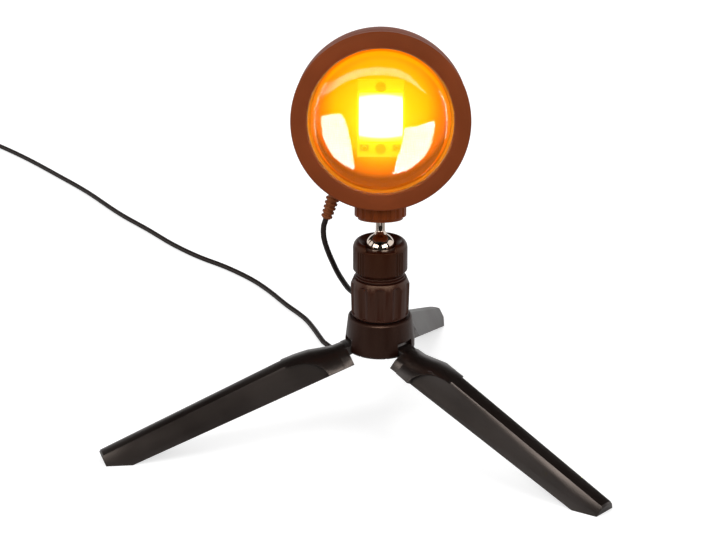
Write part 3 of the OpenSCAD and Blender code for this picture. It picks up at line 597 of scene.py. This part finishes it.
def paper_floor():
    """Matt white paper that keeps the lamp's shadow; a glow that only the camera sees lifts it to white."""
    made, tree, out = started("white_paper")
    path = node(tree, "ShaderNodeLightPath")
    paper = node(tree, "ShaderNodeBsdfDiffuse", {"Color": (0.6, 0.6, 0.6, 1)})
    seen = node(
        tree, "ShaderNodeMath", {1: 0.65}, {0: path.outputs["Is Camera Ray"]}, operation="MULTIPLY"
    )
    shine = node(tree, "ShaderNodeEmission", {"Color": (1, 1, 1, 1)}, {"Strength": seen.outputs["Value"]})
    both = node(
        tree, "ShaderNodeAddShader", links={0: paper.outputs["BSDF"], 1: shine.outputs["Emission"]}
    )
    tree.links.new(both.outputs["Shader"], out.inputs["Surface"])
    bm = bmesh.new()
    bmesh.ops.create_grid(bm, x_segments=1, y_segments=1, size=4)
    studio_piece("floor", bm, made)


def dark_screen():
    """A screen that arches over the table from behind the camera, which glossy surfaces mirror.

    Below its rear edge they mirror the white world.
    """
    away, half_width, sweep = 3, 3.2, math.radians(-163)
    bm = bmesh.new()
    ends = [bm.verts.new((x, -away, 0)) for x in (-half_width, half_width)]
    rail = bm.edges.new(ends)
    bmesh.ops.spin(bm, geom=[*ends, rail], cent=(0, 0, 0), axis=(1, 0, 0), angle=sweep, steps=32)
    studio_piece("dark_screen", bm, glowing("black_velvet", (1.0, 0.9, 0.8), 0.025), True)


def soft_boxes():
    """Soft boxes for glossy surfaces: two in front for all but the lens, a high one for the column only."""
    not_the_lens = bpy.data.collections.new("mirrors_the_soft_boxes")
    not_the_lens.objects.link(bpy.data.objects["lens_dome"])
    not_the_lens.collection_objects[0].light_linking.link_state = "EXCLUDE"
    the_column = bpy.data.collections.new("mirrors_the_high_box")
    for name in ("collar_nut", "scalloped_base", "hub_body"):
        the_column.objects.link(bpy.data.objects[name])
    for boxes, seen_by in ((FRONT_BOXES, not_the_lens), (HIGH_BOXES, the_column)):
        for name, (turn, at, tip, size, strength) in boxes.items():
            turned = Matrix.Rotation(math.radians(turn), 4, "Z") @ Matrix.Translation(at)
            place = turned @ Matrix.Rotation(math.radians(tip), 4, "X") @ Matrix.Diagonal((*size, 1, 1))
            bm = bmesh.new()
            bmesh.ops.create_grid(bm, x_segments=1, y_segments=1, size=0.5)
            bmesh.ops.transform(bm, matrix=place, verts=bm.verts)
            box = studio_piece(name, bm, glowing(name + "_cloth", SOFT_BOX_SHADE, strength), True)
            box.light_linking.receiver_collection = seen_by


def area_lamps(scene):
    """Soft lamps that light the object and show in no glossy surface."""
    for name, (at, power) in LAMPS.items():
        data = bpy.data.lights.new(name, "AREA")
        data.size = LAMP_SIZE
        data.energy = power
        lamp = bpy.data.objects.new(name, data)
        lamp.location = at
        lamp.visible_glossy = False
        lamp.rotation_euler = (LAMP_AIM - Vector(at)).to_track_quat("-Z", "Y").to_euler()
        scene.collection.objects.link(lamp)


# ---- operators ----
class LAMP_OT_camera(bpy.types.Operator):
    """Stands the camera where the photograph was taken"""

    bl_idname = "lamp.camera"
    bl_label = "Camera"

    def execute(self, context):
        height, tilt, turn = 0.562, 67.98, 0.575
        data = bpy.data.cameras.new("camera")
        data.lens = 120
        data.sensor_width = 36
        data.clip_start = 0.05
        made = bpy.data.objects.new("camera", data)
        away = context.scene.lamp_sizes.lens_distance
        foot = COLUMN.to_translation()
        made.location = (foot.x, foot.y - away, height)
        made.rotation_euler = (math.radians(tilt), 0, math.radians(turn))
        context.scene.collection.objects.link(made)
        context.scene.camera = made
        return {"FINISHED"}


class LAMP_OT_cord(bpy.types.Operator):
    """Lays the cord: the hanging stretch, the run over the floor and the put-away coil"""

    bl_idname = "lamp.cord"
    bl_label = "Cord"

    def execute(self, context):
        thick = context.scene.lamp_sizes.cord_diameter
        base = tuple(context.scene.lamp_colours.cord)
        # extruded PVC jacket: soft, satin and evenly dark
        pvc = moulded_plastic("pvc_cord", base, 0.4, grain=0.8, bump=0.06, shine=0.3, sheen=(1.0, 0.9, 0.85))
        hang = in_frame(hanging_line())
        cuts = [0, *(round(share * len(hang)) for share in HANG_CUTS), len(hang) - 1]
        for i, name in enumerate(("cord_top", "cord_bend", "cord_drop")):
            line = hang[cuts[i] : cuts[i + 1] + 1]
            made = jacket(name, line, thick, pvc)
            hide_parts("cord_hanging")
            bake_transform(made)
        run = in_frame(smooth_line([Vector(p) for p in RUN_POINTS], RUN_GAP))
        made = jacket("cord_run", run, thick, pvc)
        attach(made, "tripod")
        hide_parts("cord_floor")
        coil = in_frame(coil_line())
        made = jacket("cord_put_away", coil, thick, pvc)
        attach(made, "tripod")
        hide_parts("cord_coil")
        return {"FINISHED"}


class LAMP_OT_head(bpy.types.Operator):
    """Makes the front ring, the drum, the rear cover and the strain relief"""

    bl_idname = "lamp.head"
    bl_label = "Lamp head shell"

    def execute(self, context):
        sizes, colours = context.scene.lamp_sizes, context.scene.lamp_colours
        # moulded ABS with the coarsest texture of the lamp: a broad, warm sheen
        shell = moulded_plastic(
            "moulded_abs_head", tuple(colours.head), 0.5, grain=1.0, bump=0.25, shine=0.25,
            sheen=(1.0, 0.62, 0.42),
        )
        eased_copy("ring", "front_ring", shell, sizes.edge)
        eased_copy("drum_shell", "drum", shell, sizes.edge)
        eased_copy("back_cover", "rear_cover", shell, sizes.edge)
        # moulded soft PVC: satin, with a finer texture than the shell
        rubber = moulded_plastic(
            "soft_pvc_relief", tuple(colours.relief), 0.5, grain=0.8, bump=0.1, shine=0.4,
            sheen=(1.0, 0.6, 0.4),
        )
        eased_copy("relief", "strain_relief", rubber, 0.25 * MM)
        return {"FINISHED"}


class LAMP_OT_optics(bpy.types.Operator):
    """Makes the lens, the sunset filter and the chamber behind them, with its painted glow"""

    bl_idname = "lamp.optics"
    bl_label = "Lens and light"

    def execute(self, context):
        colours = context.scene.lamp_colours
        # the lens, in millimetres along its axis: back, front of the flange, dome's foot and its top
        back, flange_front, shoulder, apex = 10, 13.98, 16.38, 23.98
        # and across it: the radius of the flange and of the dome's foot
        flange, reach = 41, 33.8
        steps = 40
        radius = (reach**2 + (apex - shoulder) ** 2) / (2 * (apex - shoulder))
        half = math.asin(reach / radius)
        dome = []
        for i in range(steps + 1):
            angle = half * i / steps
            dome.append((radius * math.sin(angle), apex - radius * (1 - math.cos(angle))))
        side = [
            (34.2, 16.2), (34.5, 15.93), (34.8, 15.55), (35.1, 15.15), (35.3, 14.98), (35.6, 14.6),
            (35.9, 14.28), (36.3, flange_front),
        ]
        outline = [(0, back)] + dome + side + [(flange, flange_front), (flange, back)]
        bm = spun(outline, context.scene.lamp_sizes.steps)
        # moulded optical glass, polished: clear, with a faint haze
        glass = placed("lens_dome", bm, FACING, "lamp_head", optical_glass("optical_glass"), "lens", 40)
        light_cards(glass)
        # float glass with a dyed film: amber to orange
        film = sunset_glass("filmed_glass", tuple(colours.sunset_middle), tuple(colours.sunset_edge))
        finish(film, "sunset_filter")
        # moulded reflector with painted LED light: a glow painted yellow in the middle, deep orange toward its
        # mouth and painted shade at its rim; the ramp paints that light, so its own colour is dark, as on the
        # other painted pieces
        chamber = [
            (0.3, (1.0, 1.0, 0.12)), (0.55, (1.0, 0.92, 0.05)), (0.7, (1.0, 0.5, 0.012)),
            (0.79, (0.85, 0.33, 0.01)), (0.86, (0.3, 0.12, 0.01)), (1.0, (0.35, 0.15, 0.01)),
        ]
        finish(led_and_painted_glow("painted_glow_chamber", linear("3A2C14"), chamber, 38.4, 38.4, 1.1, raised=4), "lamp_chamber")
        # white solder mask close to the LED, seen through the filter, with painted LED light:
        # an even yellow glow, and a painted light line at its very edge
        board = [(0.6, (1.0, 1.0, 0.25)), (0.97, (1.0, 0.98, 0.2)), (1.0, (1.0, 1.0, 0.5))]
        ochre = linear("6B5524")
        finish(led_and_painted_glow("painted_glow_board", ochre, board, 60, 17.5, 1.25), "led_board")
        # phosphor under silicone, alight: bluish, so that it comes out white through the filter
        phosphor = [(0.7, (0.4, 0.5, 1.0)), (0.88, (0.25, 0.22, 0.05)), (1.0, (0.05, 0.045, 0.006))]
        finish(led_and_painted_glow("lit_led", linear("FFF3DC"), phosphor, 26, 11.6, 110.0), "led")
        # nickel plate close to the LED, with painted LED light: a yellow glow, with stronger highlights than
        # the board
        plate = [(0.0, (1.0, 0.8, 0.15)), (1.0, (1.0, 0.7, 0.1))]
        finish(led_and_painted_glow("painted_glow_nickel", ochre, plate, 20, 20, 1.0, 1.0), "led_screws", "led_terminals")
        # dark silicone round the glass, with light from inside painted on: a dull orange line
        seal = [(0.9, (0.5, 0.15, 0.01)), (1.0, (0.7, 0.28, 0.02))]
        finish(led_and_painted_glow("painted_glow_seal", linear("2A1408"), seal, 41, 41, 0.7), "lens_gasket", "filter_ring")
        return {"FINISHED"}


class LAMP_OT_inside(bpy.types.Operator):
    """Finishes the parts inside the lamp head"""

    bl_idname = "lamp.inside"
    bl_label = "Inside the head"

    def execute(self, context):
        # nickel-plated steel: bright and a little warm
        finish(metal("nickel_plate", linear("C8C2BA"), 0.22), "heat_sink_screws")
        # black-oxide steel: dark grey with a low gloss
        finish(metal("blackened_steel", linear("4A4542"), 0.35), "rear_cover_screws")
        # die-cast aluminium, as cast: pale grey and dull
        finish(metal("cast_aluminium", linear("B4B4B0"), 0.45), "heat_sink")
        # solder mask over glass-fibre board: green and fairly glossy
        finish(moulded_plastic("green_solder_mask", linear("1F5A33"), 0.3), "driver_board")
        # turned brass: yellow, with fine turning marks
        finish(metal("turned_brass", linear("C79A4B"), 0.3, streak=0.05), "thread_insert")
        return {"FINISHED"}


class LAMP_OT_ball_head(bpy.types.Operator):
    """Makes the bright stud, the lock ring, the collar and the scalloped base"""

    bl_idname = "lamp.ball_head"
    bl_label = "Ball head"

    def execute(self, context):
        colours = context.scene.lamp_colours
        # chrome plate over turned steel, polished: mirrors the studio sharply
        chrome = metal("polished_chrome", tuple(colours.chrome), 0.07)
        eased_copy("stud_and_ball", "ball_stud", chrome, 0.15 * MM)
        # moulded ABS: satin, smoother on the collar and the base than on the lock ring
        wheel = moulded_plastic(
            "moulded_abs_wheel", tuple(colours.wheel), 0.42, grain=0.9, bump=0.12, shine=0.35,
            sheen=(1.0, 0.6, 0.35),
        )
        collar = moulded_plastic(
            "moulded_abs_collar", tuple(colours.collar), 0.32, grain=0.9, bump=0.1, shine=0.32,
            sheen=(1.0, 0.65, 0.4),
        )
        grip = moulded_plastic(
            "moulded_abs_grip", tuple(colours.grip), 0.32, grain=0.9, bump=0.1, shine=0.4,
            sheen=(1.0, 0.75, 0.55),
        )
        eased_copy("lock_wheel", "lock_ring", wheel, 0.2 * MM)
        eased_copy("collar_nut", "ball_collar", collar, 0.25 * MM)
        eased_copy("scalloped_base", "base_grip", grip, 0.3 * MM)
        # moulded natural nylon: milky white and satin
        finish(moulded_plastic("natural_nylon", linear("D8D2C2"), 0.45), "ball_seat")
        return {"FINISHED"}


class LAMP_OT_tripod(bpy.types.Operator):
    """Makes the hub and the three legs"""

    bl_idname = "lamp.tripod"
    bl_label = "Tripod"

    def execute(self, context):
        sizes, colours = context.scene.lamp_sizes, context.scene.lamp_colours
        # moulded ABS: near black, with stronger highlights on the legs than on the hub
        skin = moulded_plastic(
            "moulded_abs_legs", tuple(colours.legs), 0.34, grain=0.9, bump=0.12, shine=1.0,
            sheen=(1.0, 0.9, 0.85),
        )
        hub = moulded_plastic(
            "moulded_abs_hub", tuple(colours.hub), 0.34, grain=0.9, bump=0.12, shine=0.35,
            sheen=(1.0, 0.65, 0.5),
        )
        eased_copy("hub_body", "hub", hub, sizes.edge)
        for side in ("left", "right", "rear"):
            eased_copy(side + "_leg_body", side + "_leg", skin, sizes.edge)
        finish(hub, "hub_cover")
        # nickel-plated steel: bright, with a soft gloss
        steel = metal("nickel_steel", linear("BDB8B2"), 0.25)
        finish(steel, "seat_spring", "hub_screw", "hub_washer", "hinge_pins")
        # pressed fibre: black and matt
        finish(moulded_plastic("fibre_washer", linear("1B1817"), 0.7), "friction_pad")
        return {"FINISHED"}


class LAMP_OT_switch(bpy.types.Operator):
    """Makes the inline switch, the tie and the plug"""

    bl_idname = "lamp.switch"
    bl_label = "Switch and plug"

    def execute(self, context):
        # moulded ABS, and PVC on the plug: near black and satin
        case = moulded_plastic("moulded_switch", linear("1B1716"), 0.45)
        eased_copy("switch_lower", "switch_case", case, 0.3 * MM)
        eased_copy("switch_upper", "switch_lid", case, 0.3 * MM)
        # moulded ABS, polished a little: dark grey
        button = moulded_plastic("moulded_button", linear("3A3634"), 0.4)
        eased_copy("push_button", "switch_button", button, 0.2 * MM)
        eased_copy("plug_grip", "usb_plug", case, 0.5 * MM)
        # drawn, nickel-plated sheet: bright
        eased_copy("plug_shell", "usb_shell", metal("drawn_nickel", linear("C9C5BE"), 0.25), 0.08 * MM)
        # moulded heat-proof plastic: off-white and satin
        finish(moulded_plastic("contact_tongue", linear("E4E1DA"), 0.4), "usb_tongue")
        # moulded rubber: black and nearly matt
        tie = moulded_plastic("tie_rubber", linear("141211"), 0.6)
        eased_copy("tie_band", "coil_tie", tie, 0.15 * MM)
        return {"FINISHED"}


class LAMP_OT_stage(bpy.types.Operator):
    """Makes the pale floor, the world and the soft studio lamps"""

    bl_idname = "lamp.stage"
    bl_label = "Studio"

    def execute(self, context):
        context.scene.view_settings.view_transform = "Standard"
        white_world(context.scene)
        paper_floor()
        dark_screen()
        soft_boxes()
        area_lamps(context.scene)
        return {"FINISHED"}


class LAMP_PT_sidebar(bpy.types.Panel):
    """Lists the lamp's sizes, colours and steps"""

    bl_idname = "LAMP_PT_sidebar"
    bl_label = "Sunset projection lamp"
    bl_space_type = "VIEW_3D"
    bl_region_type = "UI"
    bl_category = "Lamp"

    def draw(self, context):
        for group in (context.scene.lamp_sizes, context.scene.lamp_colours):
            for key in group.__annotations__:
                self.layout.prop(group, key)
        for step in STEPS:
            self.layout.operator(step.bl_idname)


STEPS = (
    LAMP_OT_camera, LAMP_OT_switch, LAMP_OT_cord, LAMP_OT_head, LAMP_OT_optics, LAMP_OT_inside,
    LAMP_OT_ball_head, LAMP_OT_tripod, LAMP_OT_stage,
)
CLASSES = (LampSizes, LampColours, *STEPS, LAMP_PT_sidebar)


def register():
    for each in CLASSES:
        bpy.utils.register_class(each)
    bpy.types.Scene.lamp_sizes = PointerProperty(type=LampSizes)
    bpy.types.Scene.lamp_colours = PointerProperty(type=LampColours)


def unregister():
    del bpy.types.Scene.lamp_colours
    del bpy.types.Scene.lamp_sizes
    for each in reversed(CLASSES):
        bpy.utils.unregister_class(each)


def main():
    register()
    bpy.ops.lamp.camera()
    bpy.ops.lamp.switch()
    bpy.ops.lamp.cord()
    bpy.ops.lamp.head()
    bpy.ops.lamp.optics()
    bpy.ops.lamp.inside()
    bpy.ops.lamp.ball_head()
    bpy.ops.lamp.tripod()
    bpy.ops.lamp.stage()
    bpy.context.view_layer.update()


if __name__ == "__main__":
    main()
